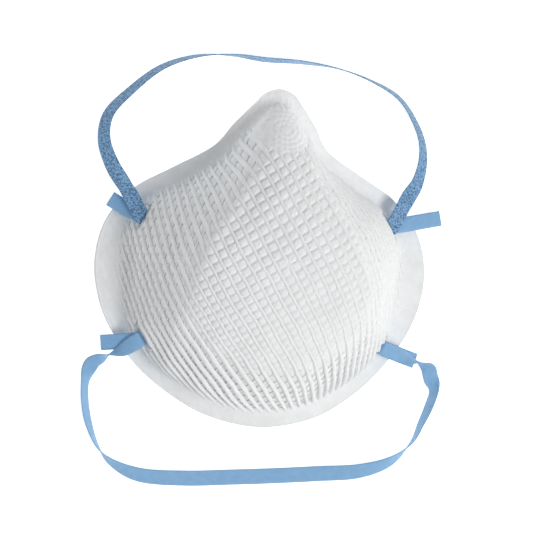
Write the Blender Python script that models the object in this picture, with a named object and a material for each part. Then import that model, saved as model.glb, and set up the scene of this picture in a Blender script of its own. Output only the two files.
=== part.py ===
"""A disposable cup dust mask: four moulded layers, a nose cushion and two head straps.

The mask lies on its rim with the convex front up. +Y is the nose, +X is the right side
seen from the front, and the origin is on the resting plane below the middle of the mask.
Lengths in the tables are millimetres; MM turns them into metres.
"""

import math

import bmesh
import bpy
from mathutils import Matrix, Vector

MM = 0.001

# ---- driving dimensions, in millimetres ----
GAP = 0.3
LAYERS = (
    ("outer_mesh_shell", 0.8, (0.93, 0.93, 0.92), 0.8),
    ("cover_web", 0.4, (0.90, 0.91, 0.92), 0.9),
    ("filter_media", 0.8, (0.96, 0.96, 0.95), 0.95),
    ("inner_liner", 0.7, (0.94, 0.93, 0.91), 0.9),
)
STACK = sum(layer[1] for layer in LAYERS) + GAP * (len(LAYERS) - 1)
RIM_NOSE_RISE = 24.8
RIM_NOSE_START = 22.0
RIM_NOSE_END = 75.0
RIM_CHIN_RISE = 10.5
RIM_CHIN_START = -40.0
RIM_CHIN_END = -75.0
FLANGE_MIDDLE = 0.55
# The flange is flat along the rim, then lifts towards the dome: by how much, where the
# lift starts and is full, and where it has gone again, up the wall.
FLANGE_LIFT = 4.0
LIFT_START = 0.05
LIFT_FULL = 0.25
LIFT_FADE = 0.30
LIFT_END = 0.70
FLANK_LOW = 0.3
CREST_BELOW = 0.22
CREST_ABOVE = 0.30
PLATEAU_MIDDLE = 0.5
PLATEAU_HEIGHT = 0.8
CROWN = (0.0, -2.0, 52.0)
# The right half from nose to chin: x and y of the rim, x and y of the flange's inner edge,
# and x, y and z of the shoulder where the flank turns into the front.
HALF = (
    (0.0, 69.5, 0.0, 62.0, 0.0, 47.0, 39.0),
    (6.5, 67.3, 4.2, 60.6, 3.6, 46.6, 39.0),
    (11.5, 61.8, 8.2, 57.0, 7.2, 44.6, 39.0),
    (18.0, 53.6, 13.3, 49.9, 11.0, 40.5, 40.0),
    (25.1, 44.5, 21.0, 39.5, 15.5, 33.0, 42.0),
    (40.2, 35.6, 36.1, 28.7, 23.0, 20.0, 45.5),
    (55.2, 26.5, 49.9, 20.5, 30.0, 9.0, 46.5),
    (66.0, 13.0, 56.5, 8.5, 34.0, -1.0, 46.5),
    (69.8, -4.0, 56.3, -4.3, 37.0, -10.0, 44.5),
    (66.8, -21.2, 55.4, -17.3, 38.0, -19.0, 42.0),
    (58.9, -36.0, 53.6, -32.3, 35.5, -28.0, 39.5),
    (46.6, -50.0, 42.6, -45.4, 29.0, -36.0, 38.0),
    (29.9, -61.8, 26.3, -55.2, 20.0, -43.0, 37.0),
    (15.3, -67.4, 13.4, -60.1, 10.5, -47.0, 36.5),
    (0.0, -69.5, 0.0, -62.0, 0.0, -48.0, 36.0),
)
COLUMNS = 2 * (len(HALF) - 1)
MESH_COLUMNS = 2 * COLUMNS
MESH_ROWS = (0.0, 0.04, 0.11, 0.18, 0.25, 0.33, 0.42, 0.50, 0.58, 0.66, 0.74, 0.86)

# Slits, each given by its place round the rim, in columns, and across the wall, 0 to 1.
UPPER_SLIT = (6.42, 0.275)
LOWER_SLIT = (10.2, 0.283)
SLIT_LENGTH = 9.0
SLIT_WIDTH = 2.2
SLIT_DEPTH = 16.0

STRAP_WIDTH = 6.35
STRAP_THICKNESS = 0.5
PLY_OFFSET = 0.45
KNOT_SIZE = (11.0, 4.2, 2.8)
KNOT_BEVEL = 1.2
KNOT_GAP = 0.9
SLIT_EXIT_RISE = 1.2
AXIS_STUB_GAP = 0.3
AXIS_LOOP_GAP = 0.8
UPPER_AXIS = (28.0, 8.5)
LOWER_AXIS = (-46.3, 5.0)

CUSHION_HALF_SPAN = 3.9
CUSHION_ROWS = (0.02, 0.085, 0.15, 0.215, 0.28)
CUSHION_THICKNESS = 4.5
CUSHION_COLUMNS = 16
CUSHION_EDGE_ROW = 0.6
CUSHION_TAPER = 0.75

SHARP_ANGLE = 40
SLOPE_STEP = 0.01
LOOP_STEPS = 3
END_STEPS = 4

# Each loop's middle line from left to right, with the tilt of its width in degrees:
# 0 lies flat, 90 stands on edge, and 180 lies flat with the other face up.
UPPER_LOOP = (
    (-65.3, 35.9, 7.6, 26), (-68.8, 46.1, 6.0, 42), (-67.2, 56.5, 4.6, 52),
    (-59.1, 65.9, 4.0, 60), (-46.0, 76.7, 3.6, 69), (-31.0, 82.3, 3.5, 79),
    (-16.0, 83.4, 3.5, 95), (-2.0, 82.2, 3.5, 106), (14.0, 81.8, 3.5, 100),
    (29.8, 79.8, 3.5, 86), (44.0, 75.3, 3.5, 75), (56.0, 68.4, 3.8, 64),
    (63.9, 56.1, 4.6, 54), (66.1, 45.5, 5.8, 43), (64.0, 34.9, 7.4, 26),
)
LOWER_LOOP = (
    (-72.1, -53.0, 4.3, 134), (-71.9, -61.0, 3.8, 130), (-70.0, -70.0, 3.5, 127),
    (-65.8, -79.6, 3.5, 108), (-59.0, -86.4, 2.9, 62), (-46.6, -91.2, 1.6, 22),
    (-28.0, -91.9, 0.7, 5), (-9.0, -90.9, 0.5, 0), (10.0, -89.7, 0.5, 0),
    (29.0, -88.2, 0.6, 2), (44.5, -86.8, 1.4, 16), (57.7, -82.4, 2.6, 44),
    (66.5, -74.4, 3.4, 86), (70.6, -65.7, 3.5, 104), (73.6, -58.5, 3.6, 112),
    (75.2, -52.0, 4.2, 118),
)
# Where each loop ends on its axis, at the left and at the right.
UPPER_ENDS = (-60.1, 59.9)
LOWER_ENDS = (-70.1, 73.4)
# The fixed run from each slit to the loop's axis, and the tail's tip with its width vector.
STRAP_ENDS = {
    "upper_left": {
        "run": ((-57.0, 22.8, 10.2, 8),),
        "tail": ((-58.5, 18.2, 7.4), (-65.0, 22.0, 4.7)), "tip_width": (3.0, 5.6, 0.0),
    },
    "upper_right": {
        "run": ((57.2, 23.6, 10.2, 8),),
        "tail": ((60.5, 16.9, 6.9), (74.8, 19.9, 4.7)), "tip_width": (-2.9, 5.6, 0.0),
    },
    "lower_left": {
        "run": ((-57.5, -39.4, 9.8, 35), (-62.9, -41.6, 8.0, 88), (-66.8, -43.7, 6.4, 140)),
        "tail": ((-57.6, -36.2, 7.2), (-66.5, -37.2, 4.7)), "tip_width": (1.2, -6.2, 0.0),
    },
    "lower_right": {
        "run": ((59.4, -37.9, 9.8, 20), (66.8, -40.0, 8.1, 82), (71.6, -42.4, 6.5, 140)),
        "tail": ((58.5, -37.4, 7.0), (66.4, -39.9, 4.7)), "tip_width": (-3.4, -5.3, 0.0),
    },
}

EAST = Vector((1.0, 0.0, 0.0))
UP = Vector((0.0, 0.0, 1.0))


def catmull(values, t):
    """The periodic curve through a list of Vectors, read at t in list steps."""
    i = math.floor(t)
    f = t - i
    a, b, c, d = (values[(i + k) % len(values)] for k in (-1, 0, 1, 2))
    return 0.5 * (2 * b + (c - a) * f + (2 * a - 5 * b + 4 * c - d) * f**2
                  + (3 * b - a - 3 * c + d) * f**3)


def smooth(x):
    x = min(max(x, 0.0), 1.0)
    return x * x * (3.0 - 2.0 * x)


def all_columns():
    """The right half's columns, then their mirror images back up the left side."""
    right = [Vector(row) for row in HALF]
    left = [Vector((-r[0], r[1], -r[2], r[3], -r[4], r[5], r[6])) for r in HALF[-2:0:-1]]
    return right + left


TABLE = all_columns()


def rim_height(y):
    nose = smooth((y - RIM_NOSE_START) / (RIM_NOSE_END - RIM_NOSE_START))
    chin = smooth((y - RIM_CHIN_START) / (RIM_CHIN_END - RIM_CHIN_START))
    return STACK + RIM_NOSE_RISE * nose + RIM_CHIN_RISE * chin


def control_points(column):
    """The outer face's control polygon from the rim to the crown at one column."""
    row = catmull(TABLE, column)
    height = rim_height(row[1])
    rim = Vector((row[0], row[1], height))
    edge = Vector((row[2], row[3], height))
    middle = rim.lerp(edge, FLANGE_MIDDLE)
    shoulder = Vector((row[4], row[5], row[6] + STACK))
    low = edge.lerp(shoulder, FLANK_LOW)
    crown = Vector(CROWN) + UP * STACK
    plateau = shoulder.lerp(crown, PLATEAU_MIDDLE)
    plateau.z = shoulder.z + (crown.z - shoulder.z) * PLATEAU_HEIGHT
    below = shoulder.lerp(low, CREST_BELOW)
    above = shoulder.lerp(plateau, CREST_ABOVE)
    return (rim, middle, edge, low, below, above, plateau, crown)


def flange_lift(t):
    """How far the wall stands above its control polygon's curve at t."""
    rise = smooth((t - LIFT_START) / (LIFT_FULL - LIFT_START))
    fall = smooth((t - LIFT_FADE) / (LIFT_END - LIFT_FADE))
    return FLANGE_LIFT * rise * (1.0 - fall)


def surface(column, t):
    """A point on the outer face: t is 0 at the rim and 1 at the crown."""
    points = control_points(column)
    spans = len(points) - 2
    i = min(int(t * spans), spans - 1)
    f = t * spans - i
    start = points[0] if i == 0 else points[i].lerp(points[i + 1], 0.5)
    end = points[-1] if i == spans - 1 else points[i + 1].lerp(points[i + 2], 0.5)
    point = start * (1 - f) ** 2 + points[i + 1] * 2 * f * (1 - f) + end * f * f
    return point + UP * flange_lift(t)


def frame_at(column, t):
    """The point, the direction round the rim, the direction up the wall and the normal."""
    low, high = max(t - SLOPE_STEP, 0.0), min(t + SLOPE_STEP, 1.0)
    around = surface(column + SLOPE_STEP, t) - surface(column - SLOPE_STEP, t)
    around.normalize()
    up_wall = (surface(column, high) - surface(column, low)).normalized()
    normal = up_wall.cross(around).normalized()
    return surface(column, t), around, up_wall, normal


def offset_point(column, t, depth):
    """A point at a depth under the outer face, along its normal."""
    point, _, _, normal = frame_at(column, t)
    return point - normal * depth


def material(name, colour, roughness):
    made = bpy.data.materials.new(name)
    made.use_nodes = True
    shader = made.node_tree.nodes["Principled BSDF"]
    shader.inputs["Base Color"].default_value = (*colour, 1.0)
    shader.inputs["Roughness"].default_value = roughness
    shader.inputs["Metallic"].default_value = 0.0
    return made


def finish_mesh(name, bm, look, origin=None):
    """Make the object from a bmesh in millimetres, with its origin in millimetres."""
    bm.normal_update()
    bmesh.ops.recalc_face_normals(bm, faces=bm.faces)
    place = Vector(origin) if origin else Vector()
    bm.transform(Matrix.Scale(MM, 4) @ Matrix.Translation(-place))
    mesh = bpy.data.meshes.new(name)
    bm.to_mesh(mesh)
    bm.free()
    mesh.shade_smooth()
    mesh.set_sharp_from_angle(angle=math.radians(SHARP_ANGLE))
    made = bpy.data.objects.new(name, mesh)
    made.location = place * MM
    if look:
        made.data.materials.append(look)
    bpy.context.scene.collection.objects.link(made)
    return made


def shell_mesh(outer_depth, inner_depth):
    """A closed shell between two depths under the outer face."""
    bm = bmesh.new()
    sides = []
    for depth in (outer_depth, inner_depth):
        rings = []
        for t in MESH_ROWS:
            columns = (COLUMNS * k / MESH_COLUMNS for k in range(MESH_COLUMNS))
            rings.append([bm.verts.new(offset_point(c, t, depth)) for c in columns])
        pole = bm.verts.new(Vector(CROWN) + UP * (STACK - depth))
        sides.append((rings, pole))
    for rings, pole in sides:
        for lower, upper in zip(rings, rings[1:]):
            for k in range(MESH_COLUMNS):
                n = (k + 1) % MESH_COLUMNS
                bm.faces.new((lower[k], lower[n], upper[n], upper[k]))
        for k in range(MESH_COLUMNS):
            bm.faces.new((rings[-1][k], rings[-1][(k + 1) % MESH_COLUMNS], pole))
    outer_rim, inner_rim = sides[0][0][0], sides[1][0][0]
    for k in range(MESH_COLUMNS):
        n = (k + 1) % MESH_COLUMNS
        bm.faces.new((outer_rim[k], outer_rim[n], inner_rim[n], inner_rim[k]))
    return bm


def slit_places():
    """The four slits' names and places; the left side mirrors the right."""
    places = {}
    for level, (column, t) in (("upper", UPPER_SLIT), ("lower", LOWER_SLIT)):
        places[level + "_right"] = (column, t)
        places[level + "_left"] = (COLUMNS - column, t)
    return places


def slit_cutter(name, column, t):
    """A long slot through the whole wall, along the rim's direction."""
    point, around, up_wall, normal = frame_at(column, t)
    centre = point - normal * STACK / 2
    bm = bmesh.new()
    bmesh.ops.create_cube(bm, size=1.0)
    turn = Matrix((around, up_wall, normal)).transposed().to_4x4()
    size = Matrix.Diagonal((SLIT_LENGTH, SLIT_WIDTH, SLIT_DEPTH, 1.0))
    bm.transform(Matrix.Translation(centre) @ turn @ size)
    cutter = finish_mesh("cutter_" + name, bm, None)
    cutter.hide_render = True
    cutter.display_type = "WIRE"
    return cutter


def build_layers(cutters):
    depth = 0.0
    for name, thickness, colour, roughness in LAYERS:
        look = material(name + "_material", colour, roughness)
        layer = finish_mesh(name, shell_mesh(depth, depth + thickness), look)
        for cutter in cutters:
            cut = layer.modifiers.new(cutter.name, "BOOLEAN")
            cut.operation = "DIFFERENCE"
            cut.solver = "EXACT"
            cut.object = cutter
        depth += thickness + GAP


def build_nose_cushion():
    """A soft pad glued inside the nose, thickest in the middle, thin at its border."""
    bm = bmesh.new()
    top = STACK + GAP
    sheets = []
    for side in (0, 1):
        grid = []
        for i, t in enumerate(CUSHION_ROWS):
            place = (i + CUSHION_EDGE_ROW) / (len(CUSHION_ROWS) - 1 + 2 * CUSHION_EDGE_ROW)
            across = math.sin(math.pi * place)
            line = []
            for k in range(CUSHION_COLUMNS + 1):
                u = 2.0 * k / CUSHION_COLUMNS - 1.0
                swell = across * (1.0 - CUSHION_TAPER * u**4)
                depth = top + side * CUSHION_THICKNESS * swell
                line.append(bm.verts.new(offset_point(u * CUSHION_HALF_SPAN, t, depth)))
            grid.append(line)
        sheets.append(grid)
    rows, cols = len(CUSHION_ROWS), CUSHION_COLUMNS + 1
    for grid in sheets:
        for i in range(rows - 1):
            for k in range(cols - 1):
                bm.faces.new((grid[i][k], grid[i][k + 1], grid[i + 1][k + 1], grid[i + 1][k]))
    border = [(0, k) for k in range(cols)]
    border += [(i, cols - 1) for i in range(1, rows)]
    border += [(rows - 1, k) for k in range(cols - 2, -1, -1)]
    border += [(i, 0) for i in range(rows - 2, 0, -1)]
    a, b = sheets
    for (i, k), (j, m) in zip(border, border[1:] + border[:1]):
        bm.faces.new((a[i][k], a[j][m], b[j][m], b[i][k]))
    finish_mesh("nose_cushion", bm, material("foam_material", (0.80, 0.81, 0.82), 0.95))


def open_curve(ends, i, f):
    """The curve through a padded list, between its items i + 1 and i + 2."""
    a, b, c, d = ends[i:i + 4]
    return 0.5 * (2 * b + (c - a) * f + (2 * a - 5 * b + 4 * c - d) * f**2
                  + (3 * b - a - 3 * c + d) * f**3)


def ribbon_mesh(stations, steps):
    """A flat strip through stations of (middle, width vector), with square ends."""
    bm = bmesh.new()
    rings = []
    ends = [stations[0]] + list(stations) + [stations[-1]]
    spots = []
    for i in range(len(stations) - 1):
        for s in range(steps):
            spots.append((i, s / steps))
    spots.append((len(stations) - 2, 1.0))
    middles = [open_curve([e[0] for e in ends], i, f) for i, f in spots]
    widths = [open_curve([e[1] for e in ends], i, f) for i, f in spots]
    for n, (middle, width) in enumerate(zip(middles, widths)):
        along = middles[min(n + 1, len(middles) - 1)] - middles[max(n - 1, 0)]
        thick = along.cross(width).normalized() * STRAP_THICKNESS / 2
        half = width / 2
        corners = (half + thick, half - thick, -half - thick, -half + thick)
        rings.append([bm.verts.new(middle + c) for c in corners])
    for first, second in zip(rings, rings[1:]):
        for k in range(4):
            n = (k + 1) % 4
            bm.faces.new((first[k], first[n], second[n], second[k]))
    bm.faces.new(rings[0])
    bm.faces.new(rings[-1])
    return bm


def tilted_width(along, tilt, inner_side):
    """The width vector from the loop's outer edge to its inner edge."""
    flat = Vector((along.x, along.y, 0.0)).normalized()
    inward = Vector((-flat.y, flat.x, 0.0)) * inner_side
    angle = math.radians(tilt)
    return (inward * math.cos(angle) + UP * math.sin(angle)) * STRAP_WIDTH


def loop_stations(points, axis, inner_side, edge_way, ends_x):
    """Stations from one end on the joint's axis, round the loop, to the other end."""
    away = 1.0 if points[0][1] > axis[0] else -1.0
    start_y = axis[0] + away * AXIS_LOOP_GAP
    edge = EAST * edge_way
    left = Vector((ends_x[0], start_y, axis[1]))
    right = Vector((ends_x[1], start_y, axis[1]))
    middles = [left] + [Vector(p[:3]) for p in points] + [right]
    stations = [(left, edge * STRAP_WIDTH)]
    for i, point in enumerate(points, start=1):
        along = middles[i + 1] - middles[i - 1]
        stations.append((middles[i], tilted_width(along, point[3], inner_side)))
    stations.append((right, -edge * STRAP_WIDTH))
    return stations


def build_loops(look):
    upper = loop_stations(UPPER_LOOP, UPPER_AXIS, -1.0, 1.0, UPPER_ENDS)
    finish_mesh("upper_strap", ribbon_mesh(upper, LOOP_STEPS), look, (0.0, *UPPER_AXIS))
    lower = loop_stations(LOWER_LOOP, LOWER_AXIS, 1.0, -1.0, LOWER_ENDS)
    finish_mesh("lower_strap", ribbon_mesh(lower, LOOP_STEPS), look, (0.0, *LOWER_AXIS))


def through_slit(column, t, edge_way, ply):
    """The stations of one ply from the knot behind the wall to just outside it."""
    point, around, up_wall, normal = frame_at(column, t)
    width = around * edge_way * STRAP_WIDTH
    shift = up_wall * PLY_OFFSET * ply
    deep = point + shift - normal * (STACK + KNOT_GAP + KNOT_SIZE[2] / 2)
    return [(deep, width), (point + shift, width), (point + shift + normal * SLIT_EXIT_RISE, width)]


def slit_side(name):
    """Which way a ply's width vector runs: plus or minus the direction round the rim."""
    return 1.0 if name.startswith("upper") == name.endswith("left") else -1.0


def run_stations(name, column, t):
    """The visible ply: out of the slit, outwards, and up to the loop's axis."""
    side = slit_side(name)
    axis = UPPER_AXIS if name.startswith("upper") else LOWER_AXIS
    ends_x = UPPER_ENDS if name.startswith("upper") else LOWER_ENDS
    stations = through_slit(column, t, side, 1.0)
    run = STRAP_ENDS[name]["run"]
    stop_y = axis[0] - math.copysign(AXIS_STUB_GAP, axis[0])
    stop_x = ends_x[0] if name.endswith("left") else ends_x[1]
    stop = Vector((stop_x, stop_y, axis[1]))
    middles = [stations[-1][0]] + [Vector(p[:3]) for p in run] + [stop]
    for i, row in enumerate(run, start=1):
        along = middles[i + 1] - middles[i - 1]
        stations.append((middles[i], tilted_width(along, row[3], -side)))
    stations.append((stop, EAST * side * STRAP_WIDTH))
    return stations


def tail_stations(name, column, t):
    """The free end: out of the slit under the other ply, then flat on the flange."""
    stations = through_slit(column, t, slit_side(name), -1.0)
    tip_width = Vector(STRAP_ENDS[name]["tip_width"])
    bend, tip = (Vector(p) for p in STRAP_ENDS[name]["tail"])
    return stations[:-1] + [(bend, stations[-1][1].lerp(tip_width, 0.5)), (tip, tip_width)]


def knot_mesh(column, t):
    """The knot that is wider than the slit and stays behind the wall."""
    point, around, up_wall, normal = frame_at(column, t)
    centre = point - normal * (STACK + KNOT_GAP + KNOT_SIZE[2] / 2)
    bm = bmesh.new()
    bmesh.ops.create_cube(bm, size=1.0)
    bm.transform(Matrix.Diagonal((*KNOT_SIZE, 1.0)))
    bmesh.ops.bevel(bm, geom=bm.edges[:], offset=KNOT_BEVEL, segments=2, profile=0.5,
                    affect="EDGES")
    turn = Matrix((around, up_wall, normal)).transposed().to_4x4()
    bm.transform(Matrix.Translation(centre) @ turn)
    return bm


def build_strap_ends(look):
    """One piece at each slit: the knot with the run and the tail that leave it."""
    for name, (column, t) in slit_places().items():
        knot = finish_mesh("strap_end_" + name, knot_mesh(column, t), look)
        plies = {"run": run_stations, "tail": tail_stations}
        for ply, stations in plies.items():
            guide = finish_mesh(f"cutter_{ply}_{name}",
                                ribbon_mesh(stations(name, column, t), END_STEPS), None)
            guide.hide_render = True
            guide.display_type = "WIRE"
            join = knot.modifiers.new(ply, "BOOLEAN")
            join.operation = "UNION"
            join.solver = "EXACT"
            join.object = guide


def clear_scene():
    for thing in list(bpy.context.scene.objects):
        bpy.data.objects.remove(thing)


def main():
    clear_scene()
    cutters = [slit_cutter(name, *place) for name, place in slit_places().items()]
    build_layers(cutters)
    build_nose_cushion()
    strap_look = material("strap_material", (0.27, 0.47, 0.70), 0.5)
    build_loops(strap_look)
    build_strap_ends(strap_look)


main()
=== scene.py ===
"""The dust mask's looks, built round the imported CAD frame.

The CAD solids are stand-ins for soft goods, so every one of them is replaced here: the
moulded face with its net, the layers behind it, the foam in the nose and the two straps.
The shell's and the straps' formulas repeat the part's own. Everything is in millimetres
until make_object turns it into metres.

A place on the dome is given as a column, which counts round the rim from the nose, and as
t, which is 0 at the rim and 1 at the crown.
"""

import math

import bpy
import numpy as np
from mathutils import Matrix, Vector


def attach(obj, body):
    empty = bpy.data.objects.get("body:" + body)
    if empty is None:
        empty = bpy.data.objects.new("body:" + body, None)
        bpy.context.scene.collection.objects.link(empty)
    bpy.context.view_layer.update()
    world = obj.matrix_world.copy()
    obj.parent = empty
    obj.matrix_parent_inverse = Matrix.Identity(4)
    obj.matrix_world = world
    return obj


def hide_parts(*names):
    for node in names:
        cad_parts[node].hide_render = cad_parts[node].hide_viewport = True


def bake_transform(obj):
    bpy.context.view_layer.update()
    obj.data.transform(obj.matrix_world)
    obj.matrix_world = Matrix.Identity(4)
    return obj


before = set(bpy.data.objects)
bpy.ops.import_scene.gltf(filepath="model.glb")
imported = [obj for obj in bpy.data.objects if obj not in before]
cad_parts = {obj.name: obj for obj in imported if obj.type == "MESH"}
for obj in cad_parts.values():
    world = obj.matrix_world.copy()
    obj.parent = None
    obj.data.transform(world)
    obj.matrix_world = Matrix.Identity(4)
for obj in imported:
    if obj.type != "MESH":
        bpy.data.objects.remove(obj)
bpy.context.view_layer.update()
MM = 0.001
TURN = 2.0 * math.pi

# ---------------- the shell, as in the CAD
# The thickness of all the layers together, as the CAD has them.
STACK = 3.6
# How far the rim rises at the nose and at the chin, and the y where each rise starts and ends.
RIM_NOSE = (24.8, 22.0, 75.0)
RIM_CHIN = (10.5, -40.0, -75.0)
# How each column's control points are shared out between its rim, edge, shoulder and crown.
FLANGE_MIDDLE = 0.55
FLANK_LOW = 0.3
CREST_BELOW = 0.22
CREST_ABOVE = 0.30
PLATEAU_MIDDLE = 0.5
PLATEAU_HEIGHT = 0.8
# A soft lift of the wall above the flange, and the t over which it comes and goes.
FLANGE_LIFT = 4.0
LIFT_RISE = (0.05, 0.25)
LIFT_FALL = (0.30, 0.70)
CROWN = (0.0, -2.0, 52.0)
# Right half, nose to chin: rim x and y, the flange's inner edge x and y, shoulder x, y and z.
HALF = np.array((
    (0.0, 69.5, 0.0, 62.0, 0.0, 47.0, 39.0),
    (6.5, 67.3, 4.2, 60.6, 3.6, 46.6, 39.0),
    (11.5, 61.8, 8.2, 57.0, 7.2, 44.6, 39.0),
    (18.0, 53.6, 13.3, 49.9, 11.0, 40.5, 40.0),
    (25.1, 44.5, 21.0, 39.5, 15.5, 33.0, 42.0),
    (40.2, 35.6, 36.1, 28.7, 23.0, 20.0, 45.5),
    (55.2, 26.5, 49.9, 20.5, 30.0, 9.0, 46.5),
    (66.0, 13.0, 56.5, 8.5, 34.0, -1.0, 46.5),
    (69.8, -4.0, 56.3, -4.3, 37.0, -10.0, 44.5),
    (66.8, -21.2, 55.4, -17.3, 38.0, -19.0, 42.0),
    (58.9, -36.0, 53.6, -32.3, 35.5, -28.0, 39.5),
    (46.6, -50.0, 42.6, -45.4, 29.0, -36.0, 38.0),
    (29.9, -61.8, 26.3, -55.2, 20.0, -43.0, 37.0),
    (15.3, -67.4, 13.4, -60.1, 10.5, -47.0, 36.5),
    (0.0, -69.5, 0.0, -62.0, 0.0, -48.0, 36.0),
))
MIRROR = np.array((-1, 1, -1, 1, -1, 1, 1))
TABLE = np.vstack((HALF, HALF[-2:0:-1] * MIRROR))
COLUMNS = len(TABLE)
# The middle of each slit, as a column and t.
SLITS = {
    "upper_right": (6.42, 0.275), "upper_left": (COLUMNS - 6.42, 0.275),
    "lower_right": (10.2, 0.283), "lower_left": (COLUMNS - 10.2, 0.283),
}

# ---------------- layers and their grids
# How far the face lies under the CAD's outer face at the rim, and where that ends.
FLANGE_SINK = 2.2
SINK_FADE = (0.10, 0.36)
# Where the layers meet, as shares of the thickness: face, filter, liner.
LAYER_CUTS = (0.0, 0.42, 0.70, 1.0)
FACE_COLUMNS = 560
FLANGE_ROWS = 20
DOME_ROWS = 150
BACK_COLUMNS = 224
BACK_FLANGE_ROWS = 6
BACK_DOME_ROWS = 38
FACE_INNER_ROWS = 14
# The last t of the flange's rows, and the first and last t of the dome's.
FLANGE_TOP = 0.16
DOME_LOW = 0.17
FACE_TOP = 0.992
FACE_INNER_TOP = 0.98
BACK_TOP = 0.985

# ---------------- the net's pattern
# Strands per millimetre of the flat net, across and lengthwise.
NET_PITCH = (0.176, 0.106)
# How much denser the net lies at NET_DROP below the crown, across and lengthwise.
NET_GAIN = (0.65, 0.40)
NET_DROP = 50.0
# How much the strands bow towards the nose and the chin, per millimetre.
NET_BOW = 0.003
# Small wandering of the strands: size, then waves per millimetre along y and x, and phase.
WOBBLE_X = ((0.16, 0.31, 0.0, 0.5), (0.08, 0.83, 0.37, 0.0))
WOBBLE_Y = ((0.16, 0.0, 0.27, 1.9), (0.08, -0.45, 0.71, 0.8))
# The t where the net comes up out of the flange, and where the flat front starts.
NET_START = (0.07, 0.18)
FRONT_START = (0.56, 0.72)
# The y over which the net flattens towards the chin.
CHIN_FADE = (-52.0, -22.0)
# The flat patch at the nose: middle x and y, and half its width and height.
NOSE_PATCH = (0.0, 52.8, 10.3, 7.8)


def smooth(x):
    x = np.clip(x, 0.0, 1.0)
    return x * x * (3.0 - 2.0 * x)


def fade(x, low, high):
    return smooth((x - low) / (high - low))


def between(pair, share):
    """From the first value of a pair to the second as a share goes from 0 to 1."""
    return pair[0] + (pair[1] - pair[0]) * share


def groove(distance, width):
    """1 on a line and close to 0 two widths away from it."""
    return np.exp(-(distance / width)**2)


def circle_steps(count):
    """Angles in equal steps once round."""
    return np.linspace(0.0, TURN, count + 1)[:-1]


def spline(a, b, c, d, f):
    """The smooth curve from b to c, as f goes from 0 to 1, with a and d beside them."""
    return 0.5 * (2 * b + (c - a) * f + (2 * a - 5 * b + 4 * c - d) * f**2
                  + (3 * b - a - 3 * c + d) * f**3)


def catmull(table, t):
    """The periodic curve through the table's rows, read at t in row steps."""
    i = np.floor(t).astype(int)
    rows = (table[(i + k) % len(table)] for k in (-1, 0, 1, 2))
    return spline(*rows, (t - i)[..., None])


def rim_height(y):
    nose = RIM_NOSE[0] * fade(y, RIM_NOSE[1], RIM_NOSE[2])
    chin = RIM_CHIN[0] * fade(y, RIM_CHIN[1], RIM_CHIN[2])
    return STACK + nose + chin


def surface(column, t):
    """Points on the CAD's outer face: t is 0 at the rim and 1 at the crown."""
    column, t = np.broadcast_arrays(np.asarray(column, float), np.asarray(t, float))
    row = catmull(TABLE, column)
    height = rim_height(row[..., 1])
    rim = np.stack((row[..., 0], row[..., 1], height), -1)
    edge = np.stack((row[..., 2], row[..., 3], height), -1)
    shoulder = row[..., 4:7] + (0.0, 0.0, STACK)
    crown = np.broadcast_to(np.add(CROWN, (0.0, 0.0, STACK)), shoulder.shape)
    plateau = shoulder + (crown - shoulder) * PLATEAU_MIDDLE
    plateau[..., 2] = (shoulder + (crown - shoulder) * PLATEAU_HEIGHT)[..., 2]
    low = edge + (shoulder - edge) * FLANK_LOW
    middle = rim + (edge - rim) * FLANGE_MIDDLE
    below = shoulder + (low - shoulder) * CREST_BELOW
    above = shoulder + (plateau - shoulder) * CREST_ABOVE
    points = np.stack((rim, middle, edge, low, below, above, plateau, crown), -2)
    joints = (points[..., :-1, :] + points[..., 1:, :]) / 2
    joints[..., 0, :] = rim
    joints[..., -1, :] = crown
    spans = points.shape[-2] - 2
    i = np.minimum((t * spans).astype(int), spans - 1)
    f = (t * spans - i)[..., None]

    def pick(values, k):
        return np.take_along_axis(values, k[..., None, None], -2)[..., 0, :]

    place = (pick(joints, i) * (1 - f)**2 + pick(points, i + 1) * 2 * f * (1 - f)
             + pick(joints, i + 1) * f * f)
    place[..., 2] += FLANGE_LIFT * fade(t, *LIFT_RISE) * (1.0 - fade(t, *LIFT_FALL))
    return place


def unit(v):
    return v / np.maximum(np.linalg.norm(v, axis=-1, keepdims=True), 1e-9)


def frame_at(column, t):
    """The point, the direction round the rim, the one up the wall, and the normal."""
    step = 0.01
    t = np.asarray(t, float)
    low, high = np.maximum(t - step, 0.0), np.minimum(t + step, 1.0)
    around = unit(surface(np.asarray(column) + step, t) - surface(np.asarray(column) - step, t))
    up_wall = unit(surface(column, high) - surface(column, low))
    return surface(column, t), around, up_wall, unit(np.cross(up_wall, around))


def slit_frame(name):
    """The point, the two directions along the wall and the normal at a slit's middle."""
    return tuple(v[0] for v in frame_at(*np.array([SLITS[name]]).T))


def face_depth(t):
    """How far the face lies under the CAD's outer face: the flange is pressed thin."""
    return FLANGE_SINK * (1.0 - fade(t, *SINK_FADE))


def layer_depth(t, cut):
    """The depth of a boundary between layers, given as a share of the whole thickness."""
    top = face_depth(t)
    return top + (STACK - top) * cut


# The share of the way to the crown that is left at each t, on average over the columns.
ARC_T = np.linspace(0.0, 1.0, 201)
ARC_GRID = surface(np.arange(COLUMNS)[:, None], ARC_T[None, :])
ARC_STEPS = np.linalg.norm(np.diff(ARC_GRID, axis=1), axis=-1)
ARC = np.concatenate((np.zeros((COLUMNS, 1)), np.cumsum(ARC_STEPS, axis=1)), axis=1)
SHARE = (1.0 - ARC / ARC[:, -1:]).mean(axis=0)


def flat_place(points):
    """Where a point of the dome lies in the flat net, which was stretched most at the crown."""
    drop = (CROWN[2] + STACK - points[..., 2]) / NET_DROP
    x = points[..., 0] * (1.0 + NET_GAIN[0] * drop)
    y = (points[..., 1] - CROWN[1]) * (1.0 + NET_GAIN[1] * drop)
    return x, y - NET_BOW * points[..., 1]**2


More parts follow.
